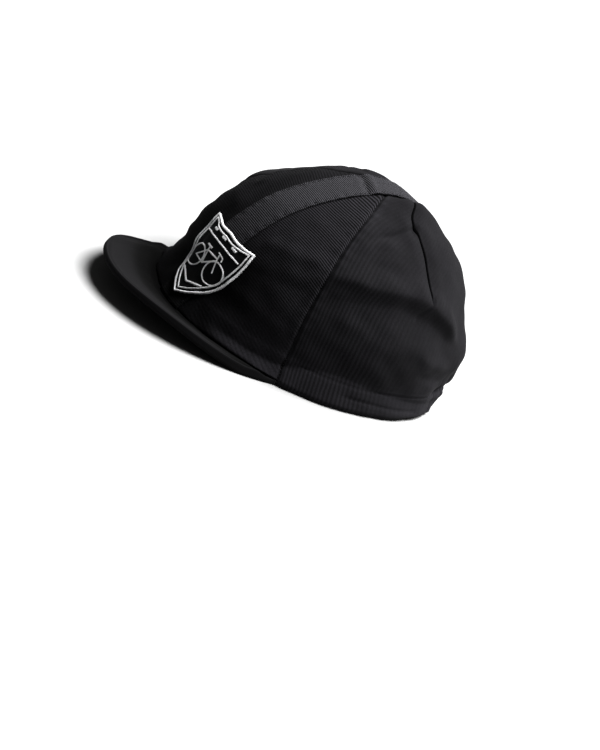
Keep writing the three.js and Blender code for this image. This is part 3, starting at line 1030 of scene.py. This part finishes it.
def circle(centre_a, centre_b, radius):
    """A circle on the badge, in mm from its middle."""
    angle = np.linspace(0, 2 * math.pi, 60)
    return np.stack([centre_a + radius * np.sin(angle), centre_b + radius * np.cos(angle)], -1)


def drawn_in(distance):
    """The outline moved in by a distance in mm, closed."""
    closed = np.concatenate([outline, outline[:1]])
    return closed * (1 - distance / np.linalg.norm(closed, axis=-1, keepdims=True))


hub, crank, wheel = -1.5, (-1.2, -2.0), 6.9

# Each line of the badge: its points or curve in mm from the badge's middle, and its width in mm
badge_lines = [
    (drawn_in(0.75), 1.65),
    (drawn_in(3.5), 1.15),
    (circle(-9.6, hub, wheel), 1.15),
    (circle(9.6, hub, wheel), 1.15),
    ([(-9.6, hub), crank], 1.1),
    ([crank, (-3.9, 7.4)], 1.1),
    ([(-3.6, 5.6), (-9.6, hub)], 1.0),
    ([(-3.5, 5.6), (6.4, 6.3)], 1.2),
    ([(6.8, 5.2), crank], 1.2),
    ([(6.1, 8.6), (7.0, 5.0), (9.6, hub)], 1.1),
    ([(4.6, 9.4), (6.6, 9.2), (9.4, 8.6), (9.8, 6.9)], 1.0),
    ([(-6.6, 8.1), (-1.8, 7.9)], 1.5),
    ([(-17.6, 13.2), (17.6, 13.2)], 1.2),
    ([(-10.4, -11.6), (0, -16.4)], 1.7),
    ([(0, -16.4), (10.4, -11.6)], 1.7),
]
for middle in (-10.5, 0, 10.5):
    badge_lines.append(([(middle - 1.9, 16.7), (middle + 1.9, 16.7)], 1.9))
starts, ends = [], []
thread_spacing = 0.36
draw = np.random.default_rng(33)
for points, width in badge_lines:
    run = through(points, thread_spacing)
    tangent = np.gradient(run, axis=0)
    tangent = tangent / np.linalg.norm(tangent, axis=-1, keepdims=True)
    normal = np.stack([-tangent[:, 1], tangent[:, 0]], -1)
    spread = width / 2 * (1 + 0.10 * draw.normal(size=(2, len(run), 1)))
    slant = 0.12 * tangent
    starts.append(run - normal * spread[0] - slant)
    ends.append(run + normal * spread[1] + slant)
starts, ends = np.concatenate(starts), np.concatenate(ends)
middle_ab = (starts + ends) / 2
low = on_badge(middle_ab[:, 0], middle_ab[:, 1], np.zeros(len(starts)))
high = on_badge(middle_ab[:, 0], middle_ab[:, 1], np.full(len(starts), 0.001))
badge_threads = threads(
    "badge_embroidery",
    on_badge(starts[:, 0], starts[:, 1], np.full(len(starts), ground_thickness)),
    on_badge(ends[:, 0], ends[:, 1], np.full(len(ends), ground_thickness)),
    (high - low) / np.linalg.norm(high - low, axis=-1, keepdims=True),
    0.00021,
    0.00042,
)
badge_threads.data.materials.append(thread_finish("badge_thread", (0.92, 0.92, 0.93), 0.45, 0.3))
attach(badge_threads, "root")


# Peak: a thin board covered in smooth black cotton, its two covers seamed together round the
# rim, its root tucked under the front panels.
peak_thickness = 0.0030
peak_half_width = 0.0644
peak_corner_y = crown_centre_y - crown_shift - 0.050
peak_reach = 0.095
peak_lift = 0.0125
level_ends = 0.13
peak_end = math.radians(83)
root_turn = math.radians(53)
peak_columns = 300
s = np.linspace(1, -1, peak_columns)[:, None]
hem_front, hem_side = crown_sections[0]["front"], crown_sections[0]["side"]


def hem_point(turn, margin):
    """Points beside the front hem, a margin outside it, at half the peak's thickness."""
    x = (hem_side + margin) * np.sin(turn)
    y = crown_centre_y - (hem_front + margin) * np.cos(turn)
    return np.stack([x, y, 0 * x + peak_thickness / 2], -1)


towards = np.cos(peak_end * s)
raised = np.maximum(towards**2 - level_ends, 0) / (1 - level_ends)
rim_x = peak_half_width * np.sin(peak_end * s)
rim_y = peak_corner_y - peak_reach * towards**1.06
rim_z = peak_thickness / 2 + peak_lift * np.sin(math.pi / 2 * raised)
rim = np.stack([rim_x, rim_y, rim_z], -1)
root = hem_point(root_turn * s, -0.006)
margin = hem_point(root_turn * s, 0.0008)
half = peak_thickness / 2
length = np.linalg.norm(rim - margin, axis=-1, keepdims=True)
rounding = np.minimum(half / length, 0.3)
body_rows = 60
body_share = np.linspace(0, 1, body_rows)[None, :, None]
body = margin + (rim - margin) * body_share * (1 - rounding)
curl = np.radians([10, 20, 30, 40, 50, 60, 70, 80, 88])[None, :, None]
curled = margin + (rim - margin) * (1 - rounding + rounding * np.sin(curl))
line = np.concatenate([root, body, curled], axis=1)
thick = half * np.concatenate([np.ones(body_rows + 1), np.cos(curl[0, :, 0])])[None, :]
from_rim = np.linalg.norm(line - rim, axis=-1)
from_root = np.linalg.norm(line - root, axis=-1)
from_crown = np.linalg.norm(line - margin, axis=-1)
face_only = fade(from_rim, 0.0010, 0.0024) * fade(from_root, 0.004, 0.010)
seam_groove = -0.00035 * bell(from_rim - 0.0026, 0.0005)
roll = 0.00025 * bell(from_rim - 0.0048, 0.0018)
across_fold = line[..., 0] + 0.35 * (line[..., 1] + 0.09)
folds_on_top = 0.0010 * bell(across_fold + 0.040, 0.0030)
folds_on_top = folds_on_top - 0.0008 * bell(across_fold + 0.047, 0.0030)
off_crown = fade(from_crown, 0.001, 0.006)
shoulder = 0.0025 * (1 - 0.75 * raised) * fade(from_rim, 0.0, 0.0009) * off_crown
uneven = 0.00025 * ripple(line, 0.030, 12) + 0.00008 * ripple(line, 0.010, 14)
top = line + 0
top[..., 2] += thick + face_only * (seam_groove + roll + folds_on_top + uneven) + shoulder
under = line + 0
under[..., 2] -= thick + face_only * seam_groove
under[..., 2] = np.maximum(under[..., 2], 0)
cover_flat = np.stack([line[..., 0] / 0.0011 + line[..., 1] / 0.0016, line[..., 1] / 0.0009], -1)
# Painted shadow of the crown: a dark strip along the peak's root, widest at the middle and kept off
# the rim.
painted_shadow_at_root = -1.8 * (1 - fade(from_crown, 0.0080 + 0.0040 * raised, 0.0155 + 0.0090 * raised))
painted_shadow_at_root = painted_shadow_at_root * fade(from_rim, 0.0012, 0.0035)
peak = cloth_wall("peak_cover", top, under, cover_flat, 1, painted_shadow_at_root)
face_out(peak)
peak_twill = twill(
    "peak_twill",
    valley=(0.0034, 0.0033, 0.0037),
    ridge=(0.0048, 0.0046, 0.0052),
    depth=0.00003,
    groove=1.0,
    sheen=0.01,
    blotch=0.10,
)
peak.data.materials.append(peak_twill)
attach(peak, "root")
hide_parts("peak")


# Floor and light: a plain pale floor under soft studio light that comes from above and behind.
bpy.ops.mesh.primitive_plane_add(size=80, location=(0, 0, 0))
floor = bpy.context.object
floor.name = "floor"
floor_paint = bpy.data.materials.new("floor_paint")
floor_paint.use_nodes = True
shader = floor_paint.node_tree.nodes["Principled BSDF"]
shader.inputs["Base Color"].default_value = (0.25, 0.25, 0.25, 1)
shader.inputs["Roughness"].default_value = 0.9
floor.data.materials.append(floor_paint)

key_direction = Vector((0.10, 0.44, 0.90))
bpy.ops.object.light_add(type="SUN")
key = bpy.context.object
key.name = "key_light"
key.rotation_mode = "QUATERNION"
key.rotation_quaternion = key_direction.to_track_quat("Z", "Y")
key.data.energy = 16.0
key.data.angle = math.radians(48)

world = bpy.data.worlds.new("studio")
bpy.context.scene.world = world
world.use_nodes = True
background = world.node_tree.nodes["Background"]
background.inputs["Color"].default_value = (1, 1, 1, 1)
background.inputs["Strength"].default_value = 0.12
